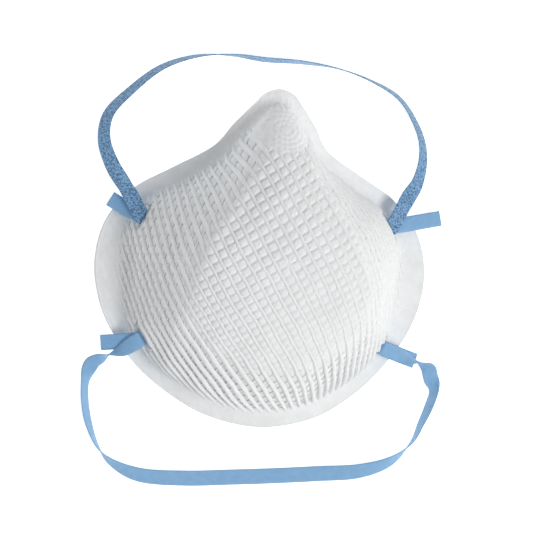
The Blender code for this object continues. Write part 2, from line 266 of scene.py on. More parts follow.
def wander(x, y, waves):
    """The sum of a few slow sines over the flat net."""
    return sum(size * np.sin(by_y * y + by_x * x + phase) for size, by_y, by_x, phase in waves)


def phases(points):
    """The two strand families' phases; a strand lies at each whole number."""
    x, y = flat_place(points)
    across = NET_PITCH[0] * (x + wander(x, y, WOBBLE_X))
    lengthwise = NET_PITCH[1] * (y + wander(x, y, WOBBLE_Y))
    return across + lengthwise, across - lengthwise


# ---------------- mesh helpers
def make_object(name, vertices, faces, look):
    """An object from vertices in millimetres, shaded smooth."""
    mesh = bpy.data.meshes.new(name)
    mesh.from_pydata((np.asarray(vertices) * MM).tolist(), [], faces)
    mesh.validate()
    mesh.shade_smooth()
    mesh.materials.append(look)
    made = bpy.data.objects.new(name, mesh)
    bpy.context.scene.collection.objects.link(made)
    return made


def grid_faces(rows, columns, start=0, wrap=True, flip=False):
    """Quads over a grid of vertices stored row by row."""
    faces = []
    for i in range(rows - 1):
        for k in range(columns if wrap else columns - 1):
            n = (k + 1) % columns
            a, b = start + i * columns + k, start + i * columns + n
            quad = (a, b, b + columns, a + columns)
            faces.append(quad[::-1] if flip else quad)
    return faces


def closed_shell(name, outer, outer_pole, inner, inner_pole, look):
    """A shell from an outer and an inner grid that share their column count."""
    columns = outer.shape[1]
    count = outer.shape[0] * columns
    vertices = np.vstack((outer.reshape(-1, 3), inner.reshape(-1, 3), outer_pole, inner_pole))
    faces = grid_faces(outer.shape[0], columns, flip=True)
    faces += grid_faces(inner.shape[0], columns, start=count)
    pole = len(vertices) - 2
    top, bottom = count - columns, len(vertices) - 2 - columns
    for k in range(columns):
        n = (k + 1) % columns
        faces.append((top + n, top + k, pole))
        faces.append((bottom + k, bottom + n, pole + 1))
        faces.append((k, n, count + n, count + k))
    return make_object(name, vertices, faces, look)


# ---------------- materials
# Noise scales are per metre. The tape's threads and picks are in millimetres.
NOISE_ROUGH = 0.55
FIBRE_STRETCH = 0.35
WEB_CLOUD_SCALE = 160.0
NET_COLOURS = ((0.80, 0.80, 0.79), (0.87, 0.87, 0.87))
FOAM_CELL_SCALE = 1100.0
# The foam's two colours: the darker one is painted shade in the middle of each pit.
FOAM_COLOURS = ((0.55, 0.57, 0.60), (0.74, 0.75, 0.77))
THREAD_WIDTH = 0.62
PICK_WIDTH = 0.45


def new_material(name):
    look = bpy.data.materials.new(name)
    look.use_nodes = True
    tree = look.node_tree
    return look, tree, tree.nodes["Principled BSDF"]


def node(tree, kind, **settings):
    made = tree.nodes.new(kind)
    for key, value in settings.items():
        if key in made.inputs:
            made.inputs[key].default_value = value
        else:
            setattr(made, key, value)
    return made


def ramp_between(tree, factor, low, high, dark, light):
    """A colour that goes from dark to light as a factor goes from low to high."""
    ramp = node(tree, "ShaderNodeValToRGB")
    ramp.color_ramp.elements[0].position = low
    ramp.color_ramp.elements[1].position = high
    ramp.color_ramp.elements[0].color = (*dark, 1.0)
    ramp.color_ramp.elements[1].color = (*light, 1.0)
    tree.links.new(factor, ramp.inputs["Fac"])
    return ramp.outputs["Color"]


def calc(tree, operation, *values):
    """A Math node's output; each value is a number or another node's output."""
    made = node(tree, "ShaderNodeMath", operation=operation)
    for socket, value in zip(made.inputs, values):
        if isinstance(value, float):
            socket.default_value = value
        else:
            tree.links.new(value, socket)
    return made.outputs[0]


def object_noise(tree, scale, detail=3.0, stretch=None):
    """Noise in the object's own metres; stretch draws it out into fibres."""
    place = node(tree, "ShaderNodeTexCoord").outputs["Object"]
    if stretch:
        mapping = node(tree, "ShaderNodeMapping")
        mapping.inputs["Scale"].default_value = stretch
        tree.links.new(place, mapping.inputs["Vector"])
        place = mapping.outputs["Vector"]
    noise = node(tree, "ShaderNodeTexNoise", Scale=scale, Detail=detail, Roughness=NOISE_ROUGH)
    tree.links.new(place, noise.inputs["Vector"])
    return noise.outputs["Fac"]


def dress(tree, shader, colour, roughness, specular, sheen=0.0, sheen_rough=0.5):
    """Give the shader a colour from another node, and its plain numbers."""
    tree.links.new(colour, shader.inputs["Base Color"])
    shader.inputs["Roughness"].default_value = roughness
    shader.inputs["Specular IOR Level"].default_value = specular
    shader.inputs["Sheen Weight"].default_value = sheen
    shader.inputs["Sheen Roughness"].default_value = sheen_rough


def add_bump(tree, shader, heights, strength, distance):
    """Bump from the sum of height outputs, distance in metres."""
    total = heights[0]
    for height in heights[1:]:
        total = calc(tree, "ADD", total, height)
    bump = node(tree, "ShaderNodeBump", Strength=strength, Distance=distance)
    tree.links.new(total, bump.inputs["Height"])
    tree.links.new(bump.outputs["Normal"], shader.inputs["Normal"])


def web_material(name, dark, light, fibre_scale, bump, sheen):
    """Non-woven web: fine crossed fibres, soft cloudy patches and a dull sheen."""
    look, tree, shader = new_material(name)
    fibres = object_noise(tree, fibre_scale, 4.0, (1.0, FIBRE_STRETCH, 1.0))
    crossed = object_noise(tree, fibre_scale * 0.8, 4.0, (FIBRE_STRETCH, 1.0, 1.0))
    clouds = object_noise(tree, WEB_CLOUD_SCALE, 2.0)
    mixed = calc(tree, "MULTIPLY", calc(tree, "ADD", fibres, clouds), 0.5)
    colour = ramp_between(tree, mixed, 0.35, 0.65, dark, light)
    dress(tree, shader, colour, roughness=0.92, specular=0.25, sheen=sheen, sheen_rough=0.6)
    add_bump(tree, shader, (fibres, crossed), 0.6, bump)
    return look


def net_material():
    """Soft white polymer netting, smoother than the web under it."""
    look, tree, shader = new_material("net_polymer")
    grain = object_noise(tree, 900.0)
    colour = ramp_between(tree, grain, 0.3, 0.7, *NET_COLOURS)
    dress(tree, shader, colour, roughness=0.62, specular=0.35)
    add_bump(tree, shader, (grain, object_noise(tree, 4000.0, 2.0)), 0.5, 0.00006)
    return look


def foam_material():
    """Pale grey open-cell foam, pitted all over, with painted shade in the pits."""
    look, tree, shader = new_material("foam_cells")
    place = node(tree, "ShaderNodeTexCoord").outputs["Object"]
    cells = node(tree, "ShaderNodeTexVoronoi", Scale=FOAM_CELL_SCALE)
    tree.links.new(place, cells.inputs["Vector"])
    # Painted shade: the colour darkens towards each pit's middle, where the bump sinks it.
    colour = ramp_between(tree, cells.outputs["Distance"], 0.1, 0.6, *FOAM_COLOURS)
    dress(tree, shader, colour, roughness=0.95, specular=0.2)
    add_bump(tree, shader, (cells.outputs["Distance"],), 0.9, 0.0004)
    return look


def strap_material(name, patch_scale, limits, dark, light):
    """Pale blue elastic tape: fine threads along it, a finer weave across."""
    look, tree, shader = new_material(name)
    along, across = (node(tree, "ShaderNodeAttribute", attribute_name=way).outputs["Fac"]
                     for way in ("along", "across"))
    threads = wave(tree, across, THREAD_WIDTH)
    woven = calc(tree, "MULTIPLY", threads, wave(tree, along, PICK_WIDTH))
    patches = object_noise(tree, patch_scale)
    colour = ramp_between(tree, patches, *limits, dark, light)
    dress(tree, shader, colour, roughness=0.55, specular=0.35, sheen=0.15)
    add_bump(tree, shader, (threads, woven), 0.5, 0.00006)
    return look


def wave(tree, value, length):
    """A cosine wave of a length in millimetres along a value."""
    return calc(tree, "COSINE", calc(tree, "MULTIPLY", value, TURN / length))


FACE_LOOK = web_material("face_web", (0.80, 0.805, 0.80), (0.88, 0.885, 0.885),
                         fibre_scale=2600.0, bump=0.00012, sheen=0.1)
FILTER_LOOK = web_material("filter_web", (0.82, 0.83, 0.84), (0.90, 0.90, 0.90),
                           fibre_scale=1800.0, bump=0.00012, sheen=0.1)
LINER_LOOK = web_material("liner_felt", (0.76, 0.755, 0.74), (0.86, 0.855, 0.84),
                          fibre_scale=1500.0, bump=0.00018, sheen=0.25)
NET_LOOK = net_material()
FOAM_LOOK = foam_material()
STRAP_LOOK = strap_material("strap_elastic", 350.0, (0.3, 0.7),
                            (0.215, 0.415, 0.66), (0.25, 0.46, 0.71))
# The upper strap is darkened by small plain flecks.
FLECKED_LOOK = strap_material("strap_flecked", 1500.0, (0.42, 0.54),
                              (0.07, 0.15, 0.28), (0.235, 0.44, 0.69))


# ---------------- the moulded face
# Of two values, the first holds on the sides and the second on the front.
PUFF_HEIGHT = (0.85, 1.45)
PUFF_SINK = (0.78, 0.70)
# Half widths of the lines that hold the web down, in phases.
RIB_GROOVE = (0.25, 0.16)
CROSS_GROOVE = 0.13
BEAD_GROOVE = 0.10
# On the front the web puffs in rows of beads, parted square to the first family.
BEADS_PER_PHASE = 1.45
BEAD_SLANT = 0.47
BEAD_DEPTH = 0.60
# How much puffs differ, and fine creases: sizes in millimetres and waves.
CELL_VARIETY = 0.14
CELL_MIX = (7.1, 13.7)
CREASE = 0.10
CREASE_WAVES = (4.3, 2.2, 3.9)
CHIN_PUFF_LOSS = 0.45
CHIN_SINK = 0.15
# The share of the net's relief that is left where it is pressed into the flange.
PRESSED_RELIEF = 0.16
# The nose patch: where its edge fades, its oval rings, and the pits along each ring.
PATCH_EDGE = (0.95, 1.45)
PATCH_RINGS = 4.0
PATCH_DEPTH = 0.38
PATCH_MIDDLE = (0.3, 0.9)
RING_GROOVE = 0.24
RING_PITS = (2.0, 5.0)
RING_TURN = 1.7
PIT_FADE = (0.15, 0.6)
PIT_LEAST = 0.35
# The flange: dots, one pressed line near the rim and short ticks.
DOT_WAVES = ((1.9, 0.8, 0.55), (1.7, 0.9, 0.6))
DOT_FADE = (0.45, 0.95)
DOT_END = (0.15, 0.22)
DOT_DEPTH = 0.10
LINE_PLACE = (0.018, 0.006)
LINE_DEPTH = 0.15
TICKS_PER_STRAND = 2.0
TICK_START = (0.03, 0.08)
TICK_END = (0.12, 0.18)
TICK_DEPTH = 0.12
# The crest: its height, then the middle and half width of its place in t and in columns.
CREST_RIDGE = 1.2
CREST_PLACE = (0.695, 0.045)
CREST_COLUMNS = (6.0, 2.8)
# Slow unevenness: sizes and waves per millimetre, and its share on the flange and the dome.
CLOUD_SIZES = (0.22, 0.12)
LARGE_WAVES = (0.13, 0.11)
SMALL_WAVES = (0.29, -0.23, 0.17)
CLOUD_SHARE = (0.35, 1.0)
CLOUD_FADE = (0.1, 0.3)
# The t over which all relief dies out at the rim, and the face's rise over the crown.
RIM_FADE = (0.0, 0.012)
CROWN_RISE = 0.1


def ellipse_share(points, patch):
    """1 on the border of an upright elliptical patch, 0 in its middle."""
    x, y, half_width, half_height = patch
    return np.hypot((points[..., 0] - x) / half_width, (points[..., 1] - y) / half_height)


def to_whole(phase):
    """How far a phase is from the nearest whole number."""
    return np.abs(phase - np.round(phase))


def puff_shape(p1, p2, front):
    """1 in the middle of each puff, and less along the lines that hold the web down."""
    bead = BEADS_PER_PHASE * (p2 - BEAD_SLANT * p1)
    cross = (1.0 - front) * groove(to_whole(p2), CROSS_GROOVE)
    parted = front * BEAD_DEPTH * groove(to_whole(bead) / BEADS_PER_PHASE, BEAD_GROOVE)
    return (1.0 - groove(to_whole(p1), between(RIB_GROOVE, front))) * (1.0 - cross - parted)


def puff_height(p1, p2, points, front):
    """The puffs' height, a little different from puff to puff and finely creased."""
    x, y = points[..., 0], points[..., 1]
    cell = np.sin(CELL_MIX[0] * np.floor(p1) + CELL_MIX[1] * np.floor(p2))
    crease = np.sin(CREASE_WAVES[0] * x + CREASE_WAVES[1] * y) * np.sin(CREASE_WAVES[2] * y - p1)
    return between(PUFF_HEIGHT, front) + CELL_VARIETY * cell + CREASE * crease


def pillows(t, points):
    """How the web puffs out between the strands and sinks under them."""
    p1, p2 = phases(points)
    front = fade(t, *FRONT_START)
    chin = 1.0 - fade(points[..., 1], *CHIN_FADE)
    height = puff_height(p1, p2, points, front) * (1.0 - CHIN_PUFF_LOSS * chin)
    sink = between(PUFF_SINK, front) + CHIN_SINK * chin
    relief = between((PRESSED_RELIEF, 1.0), fade(t, *NET_START))
    return (height * puff_shape(p1, p2, front) - sink) * relief


def patch_pits(points):
    """Short pits along oval rings on the nose patch, where the net was pressed flat."""
    ring = ellipse_share(points, NOSE_PATCH) * PATCH_RINGS
    number = np.round(ring)
    angle = np.arctan2(points[..., 1] - NOSE_PATCH[1], points[..., 0] - NOSE_PATCH[0])
    pits = RING_PITS[0] + RING_PITS[1] * number
    pit = 0.5 + 0.5 * np.cos(angle * pits + number * RING_TURN)
    line = groove(ring - number, RING_GROOVE) * between((PIT_LEAST, 1.0), fade(pit, *PIT_FADE))
    return -PATCH_DEPTH * line * fade(ring, *PATCH_MIDDLE)


def bent_wave(a, b, waves):
    """A sine along a whose lines wave along b."""
    return np.sin(a * waves[0] + waves[1] * np.sin(b * waves[2]))


def flange_marks(t, points):
    """Faint dots and ticks pressed into the flange, and a thin line along its rim."""
    x, y = points[..., 0], points[..., 1]
    lattice = bent_wave(x, y, DOT_WAVES[0]) * bent_wave(y, x, DOT_WAVES[1])
    dots = fade(lattice, *DOT_FADE) * (1.0 - fade(t, *DOT_END))
    line = groove(t - LINE_PLACE[0], LINE_PLACE[1])
    ticks = 0.5 + 0.5 * np.cos(TURN * TICKS_PER_STRAND * phases(points)[0])
    ticks = ticks * fade(t, *TICK_START) * (1.0 - fade(t, *TICK_END))
    return -DOT_DEPTH * dots - LINE_DEPTH * line - TICK_DEPTH * ticks


def crest_ridge(column, t):
    """The crest from nose to cheek on each side, a little sharper than the CAD's."""
    from_nose = np.minimum(column % COLUMNS, COLUMNS - column % COLUMNS)
    along = groove(from_nose - CREST_COLUMNS[0], CREST_COLUMNS[1])
    return CREST_RIDGE * groove(t - CREST_PLACE[0], CREST_PLACE[1]) * along


def cloud(t, points):
    """Slow unevenness of moulded felt, in millimetres, less on the thin flange."""
    x, y = points[..., 0], points[..., 1]
    large = np.sin(LARGE_WAVES[0] * x + 0.9) * np.sin(LARGE_WAVES[1] * y + 0.4)
    small = np.sin((points * SMALL_WAVES).sum(axis=-1))
    share = between(CLOUD_SHARE, fade(t, *CLOUD_FADE))
    return share * (CLOUD_SIZES[0] * large + CLOUD_SIZES[1] * small)


def even_rows(low, high, count):
    """Values of t from low to high that lie evenly up the wall, on average."""
    shares = np.linspace(np.interp(low, ARC_T, SHARE), np.interp(high, ARC_T, SHARE), count)
    return np.interp(-shares, -SHARE, ARC_T)


def under_crown(cut):
    """The point under the crown where two layers meet."""
    return np.add(CROWN, (0.0, 0.0, STACK * (1.0 - cut)))


def layer_grid(cut, t, count):
    """The smooth grid of one boundary between layers."""
    t, columns = np.meshgrid(t, np.arange(count) * COLUMNS / count, indexing="ij")
    points, _, _, normals = frame_at(columns, t)
    return points - normals * layer_depth(t, cut)[..., None]


def build_face():
    """The visible web: puffed between the strands, pressed flat at the flange and the nose."""
    t = np.concatenate((np.linspace(0.0, FLANGE_TOP, FLANGE_ROWS),
                        even_rows(DOME_LOW, FACE_TOP, DOME_ROWS)))
    columns = np.arange(FACE_COLUMNS) * COLUMNS / FACE_COLUMNS
    t, columns = np.meshgrid(t, columns, indexing="ij")
    points, _, _, normals = frame_at(columns, t)
    in_patch = 1.0 - fade(ellipse_share(points, NOSE_PATCH), *PATCH_EDGE)
    rise = pillows(t, points) * (1.0 - in_patch) + patch_pits(points) * in_patch
    rise = rise + flange_marks(t, points) + crest_ridge(columns, t) + cloud(t, points)
    rise = rise * fade(t, *RIM_FADE) - face_depth(t)
    outer = points + normals * rise[..., None]
    cut = LAYER_CUTS[1]
    inner = layer_grid(cut, np.linspace(0.0, FACE_INNER_TOP, FACE_INNER_ROWS), FACE_COLUMNS)
    top = np.add(CROWN, (0.0, 0.0, STACK + CROWN_RISE))
    return closed_shell("moulded_face", outer, top, inner, under_crown(cut), FACE_LOOK)


def build_layer(name, first, second, look):
    """A smooth hidden layer between two of the boundaries."""
    t = np.concatenate((np.linspace(0.0, FLANGE_TOP, BACK_FLANGE_ROWS),
                        even_rows(DOME_LOW, BACK_TOP, BACK_DOME_ROWS)))
    cuts = (LAYER_CUTS[first], LAYER_CUTS[second])
    outer, inner = (layer_grid(cut, t, BACK_COLUMNS) for cut in cuts)
    return closed_shell(name, outer, under_crown(cuts[0]), inner, under_crown(cuts[1]), look)


# ---------------- the net
# Of two values, the first is for the steep ribs and the second for the strands across them.
# Half widths are in phases, heights in millimetres; on the front and the chin they are shares.
STRAND_HALF = (0.26, 0.12)
STRAND_HEIGHT = (1.05, 0.60)
STRAND_SINK = (0.18, 0.30)
FRONT_STRANDS = (0.78, 0.25)
CHIN_STRANDS = (1.15, 0.30)
FRONT_NARROWING = 0.32
WIDEST_HALF = 1.6
# How deep a strand dips where it starts, and over how many steps its ends rise.
STRAND_DIP = 0.35
END_STEPS = 3.0
STRAND_STEP = 0.55
SHORTEST_RUN = 6
SHORTEST_CHAIN = 5
# The distance over which the phase's change is measured.
STRAND_PROBE = 0.5
# Where strands end at the nose patch and where they are at full height, as shares of its
# size, and the half length and half width of what is kept clear at each slit.
STRAND_CLEAR = 1.05
STRAND_FULL = 1.5
SLIT_CLEAR = (6.4, 1.9)
# The grid of phases in which the strands are traced, and a nudge off its exact points.
STRAND_GRID = (260, 700)
NET_TOP = 0.998
NUDGE = 1e-6
# A strand's section: across and up, in half widths and heights; the foot is under the web.
STRAND_RING = ((-1.0, 0.0), (-0.72, 0.62), (-0.3, 0.95), (0.3, 0.95), (0.72, 0.62), (1.0, 0.0))
STRAND_FOOT = ((0.7, -0.5), (-0.7, -0.5))


def contour_links(above):
    """Which edges of a grid a contour joins: each cell that it crosses links two of them."""
    rows, columns = above.shape
    number = np.arange(rows * columns).reshape(rows, columns)
    beside = np.where(above != np.roll(above, -1, axis=1), number, -1)
    upward = np.where(above[:-1] != above[1:], number[:-1] + rows * columns, -1)
    edges = np.stack((beside[:-1], beside[1:], upward, np.roll(upward, -1, axis=1)), -1)
    edges = edges.reshape(-1, 4)
    crossed = np.sort(edges[(edges >= 0).sum(axis=1) == 2], axis=1)[:, 2:]
    links = {}
    for a, b in crossed.tolist():
        links.setdefault(a, []).append(b)
        links.setdefault(b, []).append(a)
    return links


def contour_chains(links):
    """The links joined end to end, open chains first."""
    left = set(links)
    chains = []
    for start in sorted(links, key=lambda edge: (len(links[edge]), edge)):
        if start not in left:
            continue
        chain = [start]
        left.discard(start)
        ahead = [edge for edge in links[start] if edge in left]
        while ahead:
            chain.append(ahead[0])
            left.discard(ahead[0])
            ahead = [edge for edge in links[chain[-1]] if edge in left]
        chains.append(np.array(chain))
    return chains


def strand_places(values, k, rows_t):
    """The columns and t along each line on which a grid of phases equals k."""
    rows, columns = values.shape
    places = []
    for chain in contour_chains(contour_links(values > k)):
        upward = chain >= rows * columns
        row, column = np.divmod(chain % (rows * columns), columns)
        here = values[row, column]
        there = values[row + upward, (column + ~upward) % columns]
        share = (k - here) / (there - here)
        at_column = (column + share * ~upward) * COLUMNS / columns
        at_t = np.interp(row + share * upward, np.arange(rows), rows_t)
        if len(chain) >= SHORTEST_CHAIN:
            places.append((np.unwrap(at_column, period=COLUMNS), at_t))
    return places


def clear_of_slits(points):
    """Which points lie outside the slits and a narrow border round them."""
    clear = np.ones(len(points), bool)
    for name in SLITS:
        middle, around, up_wall, _ = slit_frame(name)
        aside = (points - middle) @ around / SLIT_CLEAR[0]
        above = (points - middle) @ up_wall / SLIT_CLEAR[1]
        clear &= np.hypot(aside, above) > 1.0
    return clear


def even_steps(column, t):
    """The same line in equal steps, without the parts in the nose patch and the slits."""
    points = surface(column, t)
    gone = np.concatenate(((0.0,), np.cumsum(np.linalg.norm(np.diff(points, axis=0), axis=1))))
    steps = np.linspace(0.0, gone[-1], max(2, int(gone[-1] / STRAND_STEP)))
    column, t = np.interp(steps, gone, column), np.interp(steps, gone, t)
    points = surface(column, t)
    keep = (ellipse_share(points, NOSE_PATCH) > STRAND_CLEAR) & clear_of_slits(points)
    keep = np.flatnonzero(keep)
    runs = np.split(keep, np.flatnonzero(np.diff(keep) > 1) + 1)
    return [(column[run], t[run]) for run in runs if len(run) >= SHORTEST_RUN]


def strand_height(family, t, points, strength):
    """How high each point of a strand stands, with low ends."""
    front = between((1.0, FRONT_STRANDS[family]), fade(t, *FRONT_START))
    chin = between((CHIN_STRANDS[family], 1.0), fade(points[:, 1], *CHIN_FADE))
    count = np.arange(len(t))
    ends = np.minimum(np.minimum(count, count[::-1]) / END_STEPS, 1.0)
    return STRAND_HEIGHT[family] * front * chin * strength * ends


def strand_rings(family, column, t):
    """Rings of points round one strand: a low arch over a sunken foot."""
    points, _, _, normals = frame_at(column, t)
    side = unit(np.cross(normals, np.gradient(points, axis=0)))
    ahead = phases(points + side * STRAND_PROBE)[family]
    behind = phases(points - side * STRAND_PROBE)[family]
    half = STRAND_HALF[family] * 2 * STRAND_PROBE / np.abs(ahead - behind)
    half = np.minimum(half, WIDEST_HALF) * (1.0 - FRONT_NARROWING * fade(t, *FRONT_START))
    from_patch = fade(ellipse_share(points, NOSE_PATCH), STRAND_CLEAR, STRAND_FULL)
    strength = fade(t, *NET_START) * from_patch
    height = strand_height(family, t, points, strength)
    base = cloud(t, points) + crest_ridge(column, t) - face_depth(t)
    base = base - STRAND_SINK[family] - STRAND_DIP * (1.0 - strength)
    rings = []
    for across, lift in STRAND_RING + STRAND_FOOT:
        rise = height * lift + base
        rings.append(points + side * half[:, None] * across + normals * rise[:, None])
    return np.stack(rings, 1)


def build_net():
    """Both families of strands, traced over the dome as one mesh."""
    rows, columns = STRAND_GRID
    rows_t = even_rows(NET_START[0], NET_TOP, rows)
    places = surface(np.arange(columns)[None, :] * COLUMNS / columns, rows_t[:, None])
    vertices, faces = [], []
    count = 0
    for family, values in enumerate(phases(places)):
        for k in range(math.ceil(values.min()), math.floor(values.max()) + 1):
            for line in strand_places(values, k + NUDGE, rows_t):
                for column, t in even_steps(*line):
                    rings = strand_rings(family, column, t)
                    faces += tube_faces(rings, count)
                    vertices.append(rings.reshape(-1, 3))
                    count += rings.size // 3
    return make_object("outer_net", np.vstack(vertices), faces, NET_LOOK)


# ---------------- the straps
STRAP_WIDTH = 6.35
STRAP_THICKNESS = 0.5
# How far each ply lies from the slit's middle, and how far it stands out before it bends.
PLY_OFFSET = 0.45
SLIT_EXIT_RISE = 1.2
# The knot behind the wall: its depth and the gap in front of it.
KNOT_DEPTH = 2.8
KNOT_GAP = 0.9
# The trefoil line's scale, the knot's tape as half width and half thickness, and its steps.
KNOT_SCALE = (1.45, 0.5, 0.55)
KNOT_TAPE = (1.15, 0.8)
KNOT_STEPS = 72
KNOT_SIDES = 14
RIBBON_STEP = 0.8
RIBBON_POINTS = 15
# The higher this power, the squarer the ribbon's edges.
RIBBON_EDGE = 8
# Each loop's middle line from left to right, and the tilt of its width in degrees.
UPPER_LOOP = (
    (-65.3, 35.9, 7.6, 26), (-68.8, 46.1, 6.0, 42), (-67.2, 56.5, 4.6, 52),
    (-59.1, 65.9, 4.0, 60), (-46.0, 76.7, 3.6, 69), (-31.0, 82.3, 3.5, 79),
    (-16.0, 83.4, 3.5, 95), (-2.0, 82.2, 3.5, 106), (14.0, 81.8, 3.5, 100),
    (29.8, 79.8, 3.5, 86), (44.0, 75.3, 3.5, 75), (56.0, 68.4, 3.8, 64),
    (63.9, 56.1, 4.6, 54), (66.1, 45.5, 5.8, 43), (64.0, 34.9, 7.4, 26),
)
LOWER_LOOP = (
    (-72.1, -53.0, 4.3, 134), (-71.9, -61.0, 3.8, 130), (-70.0, -70.0, 3.5, 127),
    (-65.8, -79.6, 3.5, 108), (-59.0, -86.4, 2.9, 62), (-46.6, -91.2, 1.6, 22),
    (-28.0, -91.9, 0.7, 5), (-9.0, -90.9, 0.5, 0), (10.0, -89.7, 0.5, 0),
    (29.0, -88.2, 0.6, 2), (44.5, -86.8, 1.4, 16), (57.7, -82.4, 2.6, 44),
    (66.5, -74.4, 3.4, 86), (70.6, -65.7, 3.5, 104), (73.6, -58.5, 3.6, 112),
    (75.2, -52.0, 4.2, 118),
)
# The run from each slit to the loop's axis, with tilts as above, then the tail's bend and
# its tip, and the direction of the tip's width.
STRAP_ENDS = {
    "upper_left": {
        "run": ((-57.0, 22.8, 10.2, 8),),
        "tail": ((-58.5, 18.2, 7.4), (-65.0, 22.0, 4.7)), "tip_width": (3.0, 5.6, 0.0),
    },
    "upper_right": {
        "run": ((57.2, 23.6, 10.2, 8),),
        "tail": ((60.5, 16.9, 6.9), (74.8, 19.9, 4.7)), "tip_width": (-2.9, 5.6, 0.0),
    },
    "lower_left": {
        "run": ((-57.5, -39.4, 9.8, 35), (-62.9, -41.6, 8.0, 88), (-66.8, -43.7, 6.4, 140)),
        "tail": ((-57.6, -36.2, 7.2), (-66.5, -37.2, 4.7)), "tip_width": (1.2, -6.2, 0.0),
    },
    "lower_right": {
        "run": ((59.4, -37.9, 9.8, 20), (66.8, -40.0, 8.1, 82), (71.6, -42.4, 6.5, 140)),
        "tail": ((58.5, -37.4, 7.0), (66.4, -39.9, 4.7)), "tip_width": (-3.4, -5.3, 0.0),
    },
}
# Each loop's axis as y and z, the x of its two ends on it, and the side of its inner edge.
LOOPS = {
    "upper": {"points": UPPER_LOOP, "axis": (28.0, 8.5), "ends": (-60.1, 59.9), "inner": -1.0},
    "lower": {"points": LOWER_LOOP, "axis": (-46.3, 5.0), "ends": (-70.1, 73.4), "inner": 1.0},
}
EAST = np.array((1.0, 0.0, 0.0))
UP = np.array((0.0, 0.0, 1.0))


def knot_middle(point, normal):
    """The middle of the knot behind a point on the face."""
    return point - normal * (STACK + KNOT_GAP + KNOT_DEPTH / 2)


def slit_side(name):
    """Which way a ply's width vector runs: plus or minus the direction round the rim."""
    return 1.0 if name.startswith("upper") == name.endswith("left") else -1.0


def tilted_width(along, tilt, inner_side):
    """The width vector from the loop's outer edge to its inner edge."""
    flat = unit(np.array((along[0], along[1], 0.0)))
    inward = np.array((-flat[1], flat[0], 0.0)) * inner_side
    angle = math.radians(tilt)
    return (inward * math.cos(angle) + UP * math.sin(angle)) * STRAP_WIDTH


def through_slit(name, ply):
    """The stations of one ply from the knot behind the wall to just outside it."""
    point, around, up_wall, normal = slit_frame(name)
    width = around * slit_side(name) * STRAP_WIDTH
    point = point + up_wall * PLY_OFFSET * ply
    return [(knot_middle(point, normal), width), (point, width),
            (point + normal * SLIT_EXIT_RISE, width)]


def run_stations(name):
    """Stations from the knot, out of the slit and as far as the loop's axis."""
    side = slit_side(name)
    loop = LOOPS[name.split("_")[0]]
    stations = through_slit(name, 1.0)
    run = STRAP_ENDS[name]["run"]
    end_x = loop["ends"][0] if name.endswith("left") else loop["ends"][1]
    stop = np.array((end_x, *loop["axis"]))
    middles = [stations[-1][0]] + [np.array(p[:3]) for p in run] + [stop]
    for i, row in enumerate(run, start=1):
        width = tilted_width(middles[i + 1] - middles[i - 1], row[3], -side)
        stations.append((middles[i], width))
    stations.append((stop, EAST * side * STRAP_WIDTH))
    return stations


def strap_stations(level):
    """The whole strap, from the left slit's knot round the loop to the right slit's knot."""
    loop = LOOPS[level]
    left = run_stations(level + "_left")
    right = run_stations(level + "_right")[::-1]
    middles = [left[-1][0]] + [np.array(p[:3]) for p in loop["points"]] + [right[0][0]]
    stations = list(left)
    for i, row in enumerate(loop["points"], start=1):
        along = middles[i + 1] - middles[i - 1]
        stations.append((middles[i], tilted_width(along, row[3], loop["inner"])))
    return stations + right


def tail_stations(name):
    """The free end: out of the slit under the other ply, then flat on the flange."""
    stations = through_slit(name, -1.0)[:-1]
    tip_width = np.array(STRAP_ENDS[name]["tip_width"])
    bend, tip = (np.array(p) for p in STRAP_ENDS[name]["tail"])
    return stations + [(bend, (stations[-1][1] + tip_width) / 2), (tip, tip_width)]


def open_curve(values, step):
    """Points a step apart on the curve through a list of rows."""
    values = np.array(values, float)
    ends = np.vstack((values[:1], values, values[-1:]))
    points = []
    for i in range(len(values) - 1):
        length = np.linalg.norm(values[i + 1, :3] - values[i, :3])
        count = max(2, math.ceil(length / step))
        points.append(spline(*ends[i:i + 4], (np.arange(count) / count)[:, None]))
    return np.vstack(points + [values[-1:]])


def ribbon(stations):
    """Rings of a thin strip with rounded edges, its middle line and its two measures."""
    rows = open_curve([np.concatenate(station) for station in stations], RIBBON_STEP)
    middle = rows[:, :3]
    width = unit(rows[:, 3:]) * STRAP_WIDTH
    along = unit(np.gradient(middle, axis=0))
    width = unit(width - along * (width * along).sum(-1, keepdims=True)) * STRAP_WIDTH
    thick = np.cross(along, unit(width)) * STRAP_THICKNESS / 2
    u = np.linspace(-1.0, 1.0, RIBBON_POINTS)
    swell = np.sqrt(1.0 - np.abs(u)**RIBBON_EDGE)
    u = np.concatenate((u, u[-2:0:-1]))
    swell = np.concatenate((swell, -swell[-2:0:-1]))
    rings = (middle[:, None] + width[:, None] * u[None, :, None] / 2
             + thick[:, None] * swell[None, :, None])
    gone = np.concatenate(((0.0,), np.cumsum(np.linalg.norm(np.diff(middle, axis=0), axis=1))))
    return rings, middle, gone, u * STRAP_WIDTH / 2


def tube_faces(rings, start=0):
    """Faces of a closed tube through rings of points, with its two end caps."""
    count, sides = rings.shape[:2]
    last = start + (count - 1) * sides
    return (grid_faces(count, sides, start=start)
            + [tuple(range(start, start + sides))[::-1], tuple(range(last, last + sides))])


def add_measures(made, along, across):
    """Store how far each vertex is along and across the strap, in millimetres."""
    for name, values in (("along", along), ("across", across)):
        made.data.attributes.new(name, "FLOAT", "POINT").data.foreach_set("value", values)


def build_strap(level):
    """One strap from knot to knot, with its middle line and its length."""
    rings, middle, gone, across = ribbon(strap_stations(level))
    look = FLECKED_LOOK if level == "upper" else STRAP_LOOK
    made = make_object(level + "_strap_ribbon", rings.reshape(-1, 3), tube_faces(rings), look)
    add_measures(made, np.repeat(gone, len(across)), np.tile(across, len(gone)))
    return made, middle, gone[-1]


